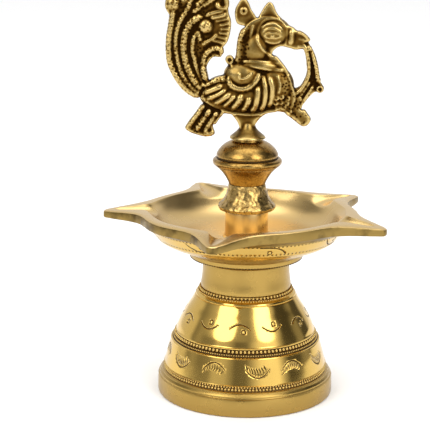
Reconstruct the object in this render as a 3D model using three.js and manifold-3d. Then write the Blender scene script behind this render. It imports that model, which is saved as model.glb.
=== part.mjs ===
// A brass table oil lamp (samai), 140 mm high, in millimetres, +Z up, standing on z = 0.
//
// The lamp is a stack that unscrews. A hollow bell foot carries a loose turned collar and a five-spouted oil bowl,
// whose stud passes down through the collar into the tapped hub of the foot. A flared skirt and a double-cone knop
// stand on the boss of the bowl, and the cast bird on top clamps them with a long rod, tapped into the same boss.
// The bird faces +X and is seen flat from the front (from -Y). The origin is on the lamp's axis, under the foot.

import * as THREE from "three";
import { ConvexGeometry } from "three/addons/geometries/ConvexGeometry.js";
import { mergeVertices } from "three/addons/utils/BufferGeometryUtils.js";
import Module from "manifold-3d";

const wasm = await Module();
wasm.setup();

// ---------- driving dimensions ----------

const TOTAL_HEIGHT = 140;

// Heights of the joints between the pieces, from the ground up.
const FOOT_TOP = 34.8;
const COLLAR_TOP = 43.8;
const RIM_TOP = 60.2;
const BOSS_TOP = 60.2;
const SKIRT_TOP = 68.6;
const KNOP_TOP = 83.2;
const SEAM = 0.1; // hairline gap left at every joint face

const FOOT_RADIUS = 28.5;
const HUB_RADIUS = 9.5;
const HUB_BOTTOM = 24.8;

const RIM_RADIUS = 33.6;
const WELL_RADIUS = 30.7; // the oil well's mouth, inside the flat rim
const WELL_FLOOR = 51;
const BOSS_RADIUS = 6.9;

// The five spouts, cast by hand and so not quite even: degrees from +X, reach from the axis, droop of the tip.
// They give the bowl its 90 mm from tip to tip.
const SPOUTS = [[-21.5, 47.2, 1.8], [35.5, 45.8, 0.9], [112, 45.4, 0.4], [177.5, 45.7, 1.3], [256.5, 44.8, 1.5]];

const TURN = 2 * Math.PI;
const THREAD_CLEARANCE = 0.2;
const STUD_THREAD = { root: 5.0, crest: 6.0, pitch: 2.5, steps: 16 };
const ROD_THREAD = { root: 2.3, crest: 3.0, pitch: 2.0, steps: 14 };
const ROD_CLEAR_RADIUS = 3.5; // plain bore of the skirt and the knop around the rod

const BRASS = { color: 0xc9a043, metalness: 1 };

// ---------- from three.js geometry to manifold solids and back ----------

function solid(geometry) {
  const bare = geometry.index ? geometry.toNonIndexed() : geometry.clone();
  bare.deleteAttribute("normal");
  bare.deleteAttribute("uv");
  const merged = mergeVertices(bare, 1e-4);
  const mesh = new wasm.Mesh({
    numProp: 3,
    vertProperties: merged.attributes.position.array,
    triVerts: new Uint32Array(merged.index.array),
  });
  return new wasm.Manifold(mesh);
}

function geometryOf(body) {
  const mesh = body.getMesh();
  const geometry = new THREE.BufferGeometry();
  geometry.setAttribute("position", new THREE.BufferAttribute(mesh.vertProperties, 3));
  geometry.setIndex(new THREE.BufferAttribute(mesh.triVerts, 1));
  const faceted = geometry.toNonIndexed();
  faceted.computeVertexNormals();
  return faceted;
}

function joined(bodies) {
  return bodies.reduce((whole, body) => whole.add(body));
}

function named(name, body, roughness) {
  const material = new THREE.MeshStandardMaterial({ ...BRASS, roughness });
  const mesh = new THREE.Mesh(geometryOf(body), material);
  mesh.name = name;
  return mesh;
}

// ---------- turned shapes ----------

// A solid of revolution about +Z. The outline holds [radius, height] pairs and runs up the outside.
function turned(outline, segments) {
  const points = outline.map(([radius, height]) => new THREE.Vector2(radius, height));
  return solid(new THREE.LatheGeometry(points, segments).rotateX(Math.PI / 2));
}

function rod(radius, bottom, top, segments) {
  return turned([[0, bottom], [radius, bottom], [radius, top], [0, top]], segments);
}

// Points of a smooth curve through the given [radius, height] pairs, both ends included.
function smooth(pairs, divisions) {
  const curve = new THREE.SplineCurve(pairs.map(([x, y]) => new THREE.Vector2(x, y)));
  return curve.getPoints(divisions).map((point) => [point.x, point.y]);
}

// ---------- screw threads ----------

// The helical ridge of a right-hand thread: a trapezium carried round +Z while it rises. It always starts on a
// whole number of pitches above z = 0, so a rod and its tapped hole are in step.
function ridge({ root, crest, pitch, steps }, lowest, top, grow) {
  const bottom = Math.floor(lowest / pitch) * pitch;
  const flank = pitch * 0.36 + grow;
  const tip = pitch * 0.12 + grow;
  const section = [[root - 0.6, -flank], [crest + grow, -tip], [crest + grow, tip], [root - 0.6, flank]];
  const count = Math.round(((top - bottom) / pitch) * steps);
  const positions = [];
  const faces = [];
  for (let step = 0; step <= count; step += 1) {
    const angle = (step / steps) * TURN;
    const middle = bottom + (step / steps) * pitch;
    for (const [radius, height] of section) {
      positions.push(radius * Math.cos(angle), radius * Math.sin(angle), middle + height);
    }
  }
  for (let step = 0; step < count; step += 1) {
    for (let side = 0; side < 4; side += 1) {
      const a = step * 4 + side;
      const b = step * 4 + ((side + 1) % 4);
      faces.push(a, a + 4, b, b, a + 4, b + 4);
    }
  }
  const last = count * 4;
  faces.push(0, 1, 2, 0, 2, 3, last, last + 2, last + 1, last, last + 3, last + 2);
  const geometry = new THREE.BufferGeometry();
  geometry.setAttribute("position", new THREE.Float32BufferAttribute(positions, 3));
  geometry.setIndex(faces);
  return solid(geometry);
}

// A threaded rod between two heights, grown by `grow` all round when it is used to cut a tapped hole.
function threadedRod(thread, bottom, top, grow = 0) {
  const core = rod(thread.root + grow, bottom, top, thread.steps);
  const margin = thread.pitch * 1.5;
  const whole = ridge(thread, bottom - margin, top + margin, grow);
  const trim = rod(thread.crest + 2, bottom, top, 12);
  return core.add(whole.intersect(trim));
}

// ---------- the bell foot, the collar and the stud ----------

function bellFoot() {
  const bell = smooth([[22.4, 20.9], [20.3, 25.6], [17.6, 30.2], [16.5, 32.2]], 5);
  const inside = smooth([[13.2, FOOT_TOP - 4.4], [17, 27.2], [19.8, 21], [23.3, 12], [25.2, 5.4]], 5);
  const outline = [
    [25.4, 0],
    [FOOT_RADIUS - 0.5, 0],
    [FOOT_RADIUS, 0.6],
    [FOOT_RADIUS, 5.4],
    [27.7, 6.4],
    [27.4, 7.4],
    [26.9, 8.4],
    [26.3, 9.5],
    [24, 17.6],
    [23.5, 18.6],
    [22.9, 20.2],
    ...bell,
    [15.9, 32.6],
    [15.3, 33.6],
    [15.1, 35.2],
    [14.9, 35.2],
    [14.9, FOOT_TOP],
    [0, FOOT_TOP],
    [0, FOOT_TOP - 3],
    [HUB_RADIUS + 1.5, FOOT_TOP - 3.2],
    ...inside,
    [25.4, 0],
  ];
  const hub = rod(HUB_RADIUS, HUB_BOTTOM, FOOT_TOP - 1, 24);
  const tapped = threadedRod(STUD_THREAD, HUB_BOTTOM - 4, FOOT_TOP + 4, THREAD_CLEARANCE);
  return turned(outline, 44).add(hub).subtract(tapped);
}

function collar() {
  const bottom = FOOT_TOP + SEAM;
  return turned(
    [[7.4, bottom], [14.6, bottom], [14.4, bottom + 1.6], [14, COLLAR_TOP - 1], [14, COLLAR_TOP], [7.4, COLLAR_TOP],
      [7.4, bottom]],
    40,
  );
}

const SOCKET_RADIUS = 4.2;
const SOCKET_TOP = 49.2;

// Brazed into the underside of the bowl: a plain tenon above, a shank in the collar, a thread in the hub.
function stud() {
  const tenon = rod(SOCKET_RADIUS - SEAM, COLLAR_TOP - 2, SOCKET_TOP - SEAM, 20);
  const shank = rod(STUD_THREAD.crest, FOOT_TOP + 0.6, COLLAR_TOP - 0.6, 28);
  return joined([threadedRod(STUD_THREAD, HUB_BOTTOM + 1.2, FOOT_TOP + 1), shank, tenon]);
}

// ---------- the oil bowl ----------

// Plan of one spout, pointing along +X: it flares out of the round rim and tapers to a blunt tip.
function spoutPlan(reach) {
  const side = [[20, 14], [33.2, 11.8], [34.6, 9.2], [36.8, 7], [40, 5.1], [43, 3.5], [reach - 0.7, 2.1], [reach, 1.3]];
  const back = side.map(([x, y]) => [x, -y]).reverse();
  return new wasm.CrossSection([[...side, ...back]], "NonZero");
}

// A spout's body: its plan, cut to a thin tongue whose top falls away by `droop` towards the tip.
function spout([azimuth, reach, droop]) {
  const corners = [
    [18, RIM_TOP], [33.4, RIM_TOP], [50, RIM_TOP - droop * (16.6 / (reach - 33.4))],
    [18, RIM_TOP - 3.8], [33, RIM_TOP - 3.8], [50, RIM_TOP - droop - 2.4],
  ];
  const points = corners.flatMap(([x, z]) => [new THREE.Vector3(x, 20, z), new THREE.Vector3(x, -20, z)]);
  const slab = solid(new ConvexGeometry(points));
  return spoutPlan(reach).extrude(20).translate([0, 0, RIM_TOP - 12]).intersect(slab).rotate([0, 0, azimuth]);
}

// The wick's way out of the well: a notch at the spout's mouth that narrows into a shallow groove.
function wickGroove([azimuth, reach, droop]) {
  const end = RIM_TOP - droop;
  const corners = [
    [26, 6.2, RIM_TOP + 1], [26, 4, RIM_TOP - 2.6], [34, 2.6, RIM_TOP + 1], [34, 1.2, RIM_TOP - 1.3],
    [reach - 3, 1.2, RIM_TOP + 1], [reach - 3, 0.3, end - 0.2],
  ];
  const points = corners.flatMap(([x, y, z]) => [new THREE.Vector3(x, y, z), new THREE.Vector3(x, -y, z)]);
  return solid(new ConvexGeometry(points)).rotate([0, 0, azimuth]);
}

function oilBowl() {
  const bottom = COLLAR_TOP + SEAM;
  const cone = [[18.6, 46.8], [23, 48.9], [25.2, 49.8]];
  const band = smooth([[27, 50.7], [29.3, 52.2], [30.6, 54], [32, 55.8]], 4);
  const outside = turned(
    [[0, bottom], [14.4, bottom], [14.4, 44.6], [16, 45], [18.3, 45.5], [18.3, 46.5], ...cone, ...band,
      [32.8, 56.6], [RIM_RADIUS, 57.2], [RIM_RADIUS, RIM_TOP - 0.3], [RIM_RADIUS - 0.3, RIM_TOP], [0, RIM_TOP]],
    48,
  );
  const wall = smooth([[15, WELL_FLOOR], [22, 52.2], [25.8, 54], [28.9, 57], [WELL_RADIUS, RIM_TOP + 0.1]], 6);
  const well = turned([[0, WELL_FLOOR], ...wall, [WELL_RADIUS, RIM_TOP + 2], [0, RIM_TOP + 2]], 48);
  const boss = turned(
    [[0, WELL_FLOOR - 1], [BOSS_RADIUS + 0.9, WELL_FLOOR - 1], [BOSS_RADIUS, WELL_FLOOR + 1],
      [BOSS_RADIUS, BOSS_TOP], [0, BOSS_TOP]],
    24,
  );
  const dish = joined([outside, ...SPOUTS.map(spout)]).subtract(well).subtract(joined(SPOUTS.map(wickGroove)));
  const tapped = threadedRod(ROD_THREAD, SOCKET_TOP + 2.2, BOSS_TOP + 4, THREAD_CLEARANCE);
  const socket = rod(SOCKET_RADIUS, bottom - 2, SOCKET_TOP, 20);
  return dish.add(boss).subtract(tapped).subtract(socket);
}

// ---------- the skirt and the knop under the bird ----------

function skirt() {
  const bottom = BOSS_TOP + SEAM;
  const flare = smooth([[9.2, bottom + 1.6], [7.6, bottom + 3.6], [6.2, bottom + 6], [5.7, SKIRT_TOP]], 6);
  return turned(
    [[ROD_CLEAR_RADIUS, bottom], [8, bottom], [9, bottom + 0.7], ...flare, [ROD_CLEAR_RADIUS, SKIRT_TOP],
      [ROD_CLEAR_RADIUS, bottom]],
    32,
  );
}

function knop() {
  const bottom = SKIRT_TOP + SEAM;
  const cone = smooth([[5.9, bottom], [7.6, 71.6], [9.6, 74.2]], 4);
  const torus = smooth([[10, 74.5], [11.1, 75.9], [10.2, 77.3]], 4);
  const dome = smooth([[9.9, 77.9], [9, 79.8], [7.4, 81.5], [5.2, 82.7]], 5);
  return turned(
    [[ROD_CLEAR_RADIUS, bottom], ...cone, ...torus, [9.5, 77.4], ...dome, [4.6, KNOP_TOP],
      [ROD_CLEAR_RADIUS, KNOP_TOP], [ROD_CLEAR_RADIUS, bottom]],
    36,
  );
}

// ---------- the bird and its rod ----------

// A flat casting standing in the XZ plane: the outline thickened about y = 0, with its edges stepped back.
function plate(outline, thickness, divisions = 2) {
  const points = outline.getPoints(divisions).map((point) => [point.x, point.y]);
  const face = new wasm.CrossSection([points], "NonZero").simplify(0.03);
  const layer = (inset, depth) => face.offset(-inset, "Square").simplify(0.05).extrude(depth, 0, 0, [1, 1], true);
  return joined([layer(0, thickness - 1.4), layer(0.5, thickness)]).rotate([90, 0, 0]);
}

// A closed outline through [x, z] pairs: a smooth curve, closed by a straight line.
function outlineThrough(pairs) {
  const [first, ...rest] = pairs.map(([x, z]) => new THREE.Vector2(x, z));
  const shape = new THREE.Shape();
  shape.moveTo(first.x, first.y);
  shape.splineThru(rest);
  return shape;
}

// A rounded swelling of the casting, alike on both faces.
function swelling(x, z, halfWidth, halfThickness, halfHeight, tilt) {
  const geometry = new THREE.SphereGeometry(1, 14, 8);
  geometry.scale(halfWidth, halfThickness, halfHeight);
  geometry.rotateY(-THREE.MathUtils.degToRad(tilt));
  geometry.translate(x, 0, z);
  return solid(geometry);
}

function tailPlume() {
  return plate(outlineThrough([
    [-12.4, 95.4], [-18.1, 98.1], [-22.8, 103.2], [-25.2, 110], [-25.1, 116], [-23.9, 121.4], [-25.4, 124.6],
    [-24.6, 128.4], [-21, 129.6], [-18.9, 126.8], [-17.6, 132], [-14.4, 137], [-9.6, TOTAL_HEIGHT],
    [-5.6, 138.4], [-4.6, 134.4], [-6, 130.6], [-5.2, 126], [-4.4, 120.4], [-4.4, 116.4], [-6.2, 111.2],
    [-7.4, 108.8], [-10.2, 108.8], [-12, 105.6], [-11, 101.4],
  ]), 4.6, 2);
}

function tailFeathersBelow() {
  return plate(outlineThrough([
    [-11.6, 97], [-13.3, 94.4], [-16.2, 89.8], [-19.1, 87], [-17.6, 85], [-14.8, 84.1], [-11.6, 83.4],
    [-8.7, 84.6], [-9.5, 87.2], [-8.2, 90.2], [-5.4, 92.2],
  ]), 4);
}

function bodyAndWing() {
  const outline = outlineThrough([
    [-14, 96.4], [-10, 93.4], [-3, 91.2], [4, 90.8], [9.6, 92], [14, 91.8], [16, 96.4], [14.6, 101.2],
    [12.6, 105.2], [6, 107.8], [0.4, 107.4], [-4.2, 104.6], [-10.6, 102.4],
  ]);
  return plate(outline, 5.6).add(swelling(0.6, 98, 14.2, 4, 7, 4));
}

function neckAndHead() {
  const outline = outlineThrough([
    [-2.8, 106], [-2.4, 112.6], [-0.6, 118.2], [3, 121.4], [8.4, 122.3], [13, 119.6], [19.6, 114.9], [19, 113],
    [15.6, 111.4], [11, 112.4], [8.2, 110.4], [10.4, 107.2], [8, 104.6], [1, 103.6],
  ]);
  return plate(outline, 5).add(swelling(8.2, 116.8, 4.6, 3.3, 4.4, 0));
}

function crest() {
  const back = outlineThrough([
    [1.6, 118.8], [-2.6, 119.6], [-3.4, 123.4], [-1, 126.7], [0.8, 126.4], [2.6, 122.6], [4, 120.6],
  ]);
  const front = outlineThrough([[3.6, 120.8], [6.2, 125.6], [7.6, 126.4], [9, 125], [10.4, 121.6], [9, 118.6]]);
  return plate(back, 3).add(plate(front, 3));
}

function knobBehindNeck() {
  const stalk = outlineThrough([[-3.4, 104.8], [-5.8, 107.4], [-6.2, 108.4], [-5, 109.4], [-3.6, 108.4], [-1.6, 106]]);
  return plate(stalk, 3.4);
}

// The sprig that hangs from the beak, bends back and meets the breast, with a knob on its outer side.
function sprig() {
  const hanging = outlineThrough([
    [17.4, 114.4], [19, 110], [19.6, 105.4], [18.6, 102.2], [15.4, 99.2], [12.4, 97.4], [14, 92], [16.6, 92.6],
    [19.4, 96.4], [21.6, 98.2], [23.8, 98.2], [24.4, 100], [23, 102.4], [22.4, 107], [20.8, 111.4], [19.2, 114.4],
  ]);
  return plate(hanging, 4);
}

function leafBelow() {
  return plate(outlineThrough([
    [11, 93.6], [13.4, 90.8], [17, 87.4], [19.2, 87.6], [20.6, 89.8], [19.4, 91.6], [17.4, 92.8], [15, 94.4],
  ]), 4);
}

// The legs run together into a small flared pedestal that stands on the knop.
function legsAndPedestal() {
  const legs = plate(outlineThrough([[-5.4, 92.6], [-3, 89.6], [-2.4, 86.8], [1.6, 86.8], [3, 89], [7.6, 92.4]]), 4.2);
  const bottom = KNOP_TOP + SEAM;
  const pedestal = turned(
    [[0, bottom], [6, bottom], [6.2, bottom + 0.6], ...smooth([[4.6, 85], [3, 86.6], [2.2, 88.4]], 4), [0, 89.4]],
    24,
  );
  return legs.add(pedestal);
}

const ROD_SOCKET_RADIUS = 2;
const ROD_SOCKET_TOP = 87.2;

function bird() {
  const socket = rod(ROD_SOCKET_RADIUS, KNOP_TOP - 1, ROD_SOCKET_TOP, 14);
  return joined([
    bodyAndWing(), tailPlume(), tailFeathersBelow(), neckAndHead(), crest(), knobBehindNeck(), sprig(), leafBelow(),
    legsAndPedestal(),
  ]).subtract(socket);
}

// Brazed into the bird's pedestal: a plain shank through the knop and the skirt, a thread in the boss.
function clampRod() {
  const tenon = rod(ROD_SOCKET_RADIUS - SEAM, KNOP_TOP - 1, ROD_SOCKET_TOP - SEAM, 14);
  const shank = rod(ROD_THREAD.crest - 0.1, BOSS_TOP + 0.6, KNOP_TOP - 0.4, 20);
  const thread = threadedRod(ROD_THREAD, SOCKET_TOP + 2.8, BOSS_TOP + 1);
  return joined([thread, shank, tenon]);
}

// ---------- the assembly ----------

const POLISHED = 0.16;
const SATIN = 0.32;
const AS_CAST = 0.42;

const lamp = new THREE.Group();
lamp.add(
  named("bell_foot", bellFoot(), POLISHED),
  named("collar", collar(), SATIN),
  named("oil_bowl", oilBowl(), SATIN),
  named("bowl_stud", stud(), SATIN),
  named("finial_skirt", skirt(), AS_CAST),
  named("finial_knop", knop(), AS_CAST),
  named("bird_finial", bird(), AS_CAST),
  named("clamp_rod", clampRod(), SATIN),
);

export default lamp;
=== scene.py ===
# %% [markdown]
# # A brass table oil lamp, looked at closely
#
# The lamp is a stack of brass pieces that unscrew from each other: a bell foot, a short collar, an oil bowl
# with five spouts, a flared skirt, a turned knop, and a cast bird on top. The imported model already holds
# the sizes and the joints. This lesson gives each visible piece its real surface: beads, engraving, cast
# feathers and polish.

# %% Load the frame
import math
import random

import bpy
import numpy as np
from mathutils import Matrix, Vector


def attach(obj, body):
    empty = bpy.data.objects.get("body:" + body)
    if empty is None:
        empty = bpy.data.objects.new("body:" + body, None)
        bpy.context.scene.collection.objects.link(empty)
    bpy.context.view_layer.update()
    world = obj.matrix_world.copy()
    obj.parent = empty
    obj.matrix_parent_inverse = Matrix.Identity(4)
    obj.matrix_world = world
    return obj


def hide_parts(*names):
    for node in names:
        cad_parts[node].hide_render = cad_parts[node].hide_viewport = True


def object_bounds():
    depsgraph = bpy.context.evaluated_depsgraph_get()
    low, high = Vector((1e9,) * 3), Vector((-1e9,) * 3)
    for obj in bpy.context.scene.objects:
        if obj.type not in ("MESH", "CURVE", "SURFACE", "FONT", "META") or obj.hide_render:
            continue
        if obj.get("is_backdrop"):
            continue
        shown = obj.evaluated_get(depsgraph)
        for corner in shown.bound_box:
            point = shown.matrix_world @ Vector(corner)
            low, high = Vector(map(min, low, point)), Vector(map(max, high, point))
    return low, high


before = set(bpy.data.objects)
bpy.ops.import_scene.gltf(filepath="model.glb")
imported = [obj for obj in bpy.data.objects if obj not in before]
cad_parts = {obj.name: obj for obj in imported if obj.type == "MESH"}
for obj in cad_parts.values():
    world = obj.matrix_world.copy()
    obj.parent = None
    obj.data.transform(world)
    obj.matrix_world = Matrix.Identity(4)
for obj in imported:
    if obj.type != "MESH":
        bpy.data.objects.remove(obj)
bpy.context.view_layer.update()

# %% [markdown]
# ## Working in millimetres
#
# Blender's unit here is the metre, and the lamp is 140 mm high, so sizes are written in millimetres and
# multiplied by `MM`. Every operator acts on what is selected, so each step starts by putting everything
# down.

# %% Small helpers for selecting and finishing
MM = 0.001
TAU = 2 * math.pi


def put_everything_down():
    if bpy.context.object and bpy.context.object.mode != "OBJECT":
        bpy.ops.object.mode_set(mode="OBJECT")
    bpy.ops.object.select_all(action="DESELECT")


def pick(*pieces):
    put_everything_down()
    for piece in pieces:
        piece.select_set(True)
    bpy.context.view_layer.objects.active = pieces[0]
    return pieces[0]


def join(first, *others):
    pick(first, *others)
    bpy.ops.object.join()
    return first


def settle(piece):
    """Puts a piece's place, turn and size into its mesh, so that its object sits at the origin."""
    pick(piece)
    bpy.ops.object.transform_apply(location=True, rotation=True, scale=True)
    return piece


def use_modifier(piece, kind, **settings):
    """Adds one modifier with its settings and applies it."""
    pick(piece)
    modifier = piece.modifiers.new(kind.title(), kind)
    for key, value in settings.items():
        setattr(modifier, key, value)
    bpy.ops.object.modifier_apply(modifier=modifier.name)
    return piece


def report(piece):
    faces = len(piece.data.polygons)
    print(f"{piece.name}: {faces} faces, {piece.dimensions.x / MM:.1f} x {piece.dimensions.y / MM:.1f}"
          f" x {piece.dimensions.z / MM:.1f} mm")


# %% [markdown]
# ## Camera, floor and light
#
# The lamp is seen from a little above, through a long lens. Polished brass shows its surroundings more than
# itself, so the studio matters: a pale floor and backdrop, two soft lights beside the camera, and darker
# side walls that draw the dark bands down a polished bell. The surroundings are the world's own shading, by
# direction.

# %% Camera
LENS_MM = 120.6
CAMERA_AWAY = 450 * MM
CAMERA_UP = 166 * MM
LOOK_DOWN = math.radians(13.48)
TURN_LEFT = math.radians(1.39)

camera_data = bpy.data.cameras.new("camera")
camera_data.lens = LENS_MM
camera_data.sensor_width = 36
camera_data.clip_start = 0.01
camera = bpy.data.objects.new("camera", camera_data)
camera.location = (0, -CAMERA_AWAY, CAMERA_UP)
camera.rotation_euler = (math.pi / 2 - LOOK_DOWN, math.radians(-0.4), TURN_LEFT)
bpy.context.scene.collection.objects.link(camera)
bpy.context.scene.camera = camera
bpy.context.scene.view_settings.view_transform = "Standard"


# %% Nodes and colours
def linear(hex_colour):
    """Turns an sRGB hex colour into the linear numbers that shaders work in."""
    channels = [int(hex_colour[i:i + 2], 16) / 255 for i in (1, 3, 5)]
    return [c / 12.92 if c <= 0.04045 else ((c + 0.055) / 1.055) ** 2.4 for c in channels] + [1.0]


def add_node(tree, kind, links=(), **settings):
    """Adds a node, sets its properties or sockets by name, and links (from_socket, to_socket_name) pairs."""
    node = tree.nodes.new(kind)
    for key, value in settings.items():
        if hasattr(node, key):
            setattr(node, key, value)
        else:
            node.inputs[key.replace("_", " ")].default_value = value
    for source, target in links:
        tree.links.new(source, node.inputs[target])
    return node


# %% The studio
def wall_shades(tree, share, stops):
    """Walls round the lamp: each stop is a compass angle in degrees and how light the wall is there."""
    walls = add_node(tree, "ShaderNodeValToRGB", [(share.outputs[0], 0)])
    ramp = walls.color_ramp
    ramp.elements.remove(ramp.elements[0])
    ramp.elements[0].position = 0
    ramp.elements[0].color = [stops[0][1]] * 3 + [1]
    for degrees, light in stops[1:]:
        stop = ramp.elements.new((degrees + 180) / 360)
        stop.color = [light, light, light, 1]
    return walls.outputs[0]


def studio_world():
    """Pale room: bright backdrop and ceiling, pale walls by the camera, and darker walls beside the lamp."""
    world = bpy.data.worlds.new("studio")
    bpy.context.scene.world = world
    world.use_nodes = True
    tree = world.node_tree
    tree.nodes.clear()
    place = add_node(tree, "ShaderNodeTexCoord")
    split = add_node(tree, "ShaderNodeSeparateXYZ", [(place.outputs["Generated"], 0)])
    x, y, z = split.outputs
    # The compass angle round the lamp, in degrees: 0 behind the camera (-Y), +90 to the right (+X).
    back = add_node(tree, "ShaderNodeMath", [(y, 0)], operation="MULTIPLY")
    back.inputs[1].default_value = -1
    angle = add_node(tree, "ShaderNodeMath", [(x, 0), (back.outputs[0], 1)], operation="ARCTAN2")
    share = add_node(tree, "ShaderNodeMapRange", [(angle.outputs[0], "Value")], From_Min=-math.pi,
                     From_Max=math.pi)
    high_walls = wall_shades(tree, share, [
        (-180, 1.0), (-134, 0.9), (-124, 0.35), (-104, 0.25), (-90, 0.4), (-72, 0.7), (-58, 0.95),
        (-30, 0.85), (-20, 0.5), (8, 0.42), (20, 0.9), (30, 1.8), (48, 1.7), (64, 0.7), (72, 0.09),
        (118, 0.08), (126, 0.7), (138, 0.9), (180, 1.0)])
    low_walls = wall_shades(tree, share, [
        (-180, 0.95), (-104, 0.9), (-96, 0.3), (-84, 0.5), (-72, 0.3), (-54, 0.35), (-46, 0.8), (-30, 0.75),
        (-20, 0.42), (-14, 0.22), (2, 0.25), (8, 0.5), (24, 1.4), (50, 1.6), (60, 0.6), (68, 0.1), (90, 0.1),
        (98, 0.35), (108, 0.4), (114, 0.12), (130, 0.1), (138, 0.9), (180, 0.95)])
    picture_rail = add_node(tree, "ShaderNodeMapRange", [(z, "Value")], interpolation_type="SMOOTHSTEP",
                            From_Min=0.32, From_Max=0.5)
    walls = add_node(tree, "ShaderNodeMix", [(picture_rail.outputs[0], 0), (low_walls, 6), (high_walls, 7)],
                     data_type="RGBA")
    rise = add_node(tree, "ShaderNodeMapRange", [(z, "Value")], interpolation_type="SMOOTHSTEP",
                    From_Min=0.74, From_Max=0.97)
    ceiling = add_node(tree, "ShaderNodeMix", [(rise.outputs[0], 0), (walls.outputs[2], 6)],
                       data_type="RGBA")
    ceiling.inputs[7].default_value = (1.45, 1.45, 1.45, 1)
    light = add_node(tree, "ShaderNodeBackground", [(ceiling.outputs[2], "Color")], Strength=1.0)
    add_node(tree, "ShaderNodeOutputWorld", [(light.outputs[0], "Surface")])


studio_world()

# %% Floor and lamps of the studio
def soft_light(name, place, aim, size, watts):
    data = bpy.data.lights.new(name, "AREA")
    data.shape = "ELLIPSE"
    data.size, data.size_y = size
    data.energy = watts
    light = bpy.data.objects.new(name, data)
    light.location = place
    light.rotation_euler = (Vector(aim) - Vector(place)).to_track_quat("-Z", "Y").to_euler()
    bpy.context.scene.collection.objects.link(light)


soft_light("left_light", (-0.362, -0.416, 0.46), (0, 0, 0.03), (0.46, 0.5), 1.7)
soft_light("right_light", (0.347, -0.429, 0.46), (0, 0, 0.03), (0.36, 0.5), 1.4)
soft_light("top_light", (0, 0.1, 1.3), (0, 0, 0.06), (1.2, 1.2), 5)

put_everything_down()
bpy.ops.mesh.primitive_plane_add(size=6, location=(0, 0, -0.0001))
floor = bpy.context.object
floor.name = "floor"
pale_floor = bpy.data.materials.new("pale_floor")
pale_floor.use_nodes = True
pale_floor.node_tree.nodes["Principled BSDF"].inputs["Base Color"].default_value = linear("#FFFFFF")
pale_floor.node_tree.nodes["Principled BSDF"].inputs["Roughness"].default_value = 0.9
floor.data.materials.append(pale_floor)
floor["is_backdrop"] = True

# %% [markdown]
# ## The brass finishes
#
# All the pieces are yellow brass, about two parts copper to one part zinc, but they were finished in
# different ways. The bell was buffed to a mirror. The foot band, the collar and the bowl kept the fine
# rings of the lathe. The skirt and the knop were left as they came out of the sand, with a brown oxide in
# their pits. The bird was cast, dipped dark and then rubbed bright on its high places. Each finish is a
# material named for it.

# %% Polished and turned brass
POLISHED_BRASS = "#D2AE5C"
TURNED_BRASS = "#AC8D4B"
EMERIED_BRASS = "#D1B277"
OXIDE_BROWN = "#553F1C"


def new_brass(name, colour, roughness):
    """A metal from a solid colour: yellow brass keeps the default IOR and is all metal."""
    material = bpy.data.materials.new(name)
    material.use_nodes = True
    tree = material.node_tree
    shader = tree.nodes["Principled BSDF"]
    shader.inputs["Base Color"].default_value = linear(colour)
    shader.inputs["Metallic"].default_value = 1.0
    shader.inputs["Roughness"].default_value = roughness
    return material, tree, shader


def lathe_rings(tree, along, spacing_mm, strength_mm):
    """Bump like the fine rings a lathe tool leaves: noise that changes only along one distance, in metres."""
    grain = add_node(tree, "ShaderNodeTexNoise", [(along, "W")], noise_dimensions="1D", Detail=3.0,
                     Scale=1 / (spacing_mm * MM))
    bump = add_node(tree, "ShaderNodeBump", [(grain.outputs["Fac"], "Height")], Strength=1.0,
                    Distance=strength_mm * MM)
    return bump


def roughness_patches(tree, shader, size_mm, low, high, detail=4.0):
    """Soft patches where the buffing wheel or a hand has left the brass a little duller."""
    place = add_node(tree, "ShaderNodeTexCoord")
    patches = add_node(tree, "ShaderNodeTexNoise", [(place.outputs["Object"], "Vector")], Detail=detail,
                       Scale=1 / (size_mm * MM))
    spread = add_node(tree, "ShaderNodeMapRange", [(patches.outputs["Fac"], "Value")], From_Min=0.3,
                      From_Max=0.7, To_Min=low, To_Max=high)
    tree.links.new(spread.outputs[0], shader.inputs["Roughness"])
    return place


def mirror_brass():
    """Buffed brass: nearly a mirror, with faint rings left by the lathe under the polish."""
    material, tree, shader = new_brass("buffed_yellow_brass", POLISHED_BRASS, 0.1)
    place = roughness_patches(tree, shader, 9, 0.09, 0.17)
    split = add_node(tree, "ShaderNodeSeparateXYZ", [(place.outputs["Object"], 0)])
    bump = lathe_rings(tree, split.outputs[2], 0.35, 0.0012)
    tree.links.new(bump.outputs[0], shader.inputs["Normal"])
    return material


def turned_brass():
    """Brass straight off the lathe: satin, with rings about a third of a millimetre apart on its walls."""
    material, tree, shader = new_brass("lathe_turned_brass", TURNED_BRASS, 0.3)
    place = roughness_patches(tree, shader, 7, 0.22, 0.36)
    split = add_node(tree, "ShaderNodeSeparateXYZ", [(place.outputs["Object"], 0)])
    bump = lathe_rings(tree, split.outputs[2], 0.3, 0.004)
    tree.links.new(bump.outputs[0], shader.inputs["Normal"])
    return material


def satin_brass():
    """Brass spun against fine emery: the dish of the bowl, whose rings run round the axis at every radius."""
    material, tree, shader = new_brass("emeried_brass", EMERIED_BRASS, 0.28)
    place = roughness_patches(tree, shader, 12, 0.23, 0.33)
    flat = add_node(tree, "ShaderNodeVectorMath", [(place.outputs["Object"], 0)], operation="MULTIPLY")
    flat.inputs[1].default_value = (1, 1, 0)
    radius = add_node(tree, "ShaderNodeVectorMath", [(flat.outputs[0], 0)], operation="LENGTH")
    bump = lathe_rings(tree, radius.outputs["Value"], 0.3, 0.002)
    tree.links.new(bump.outputs[0], shader.inputs["Normal"])
    return material


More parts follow.
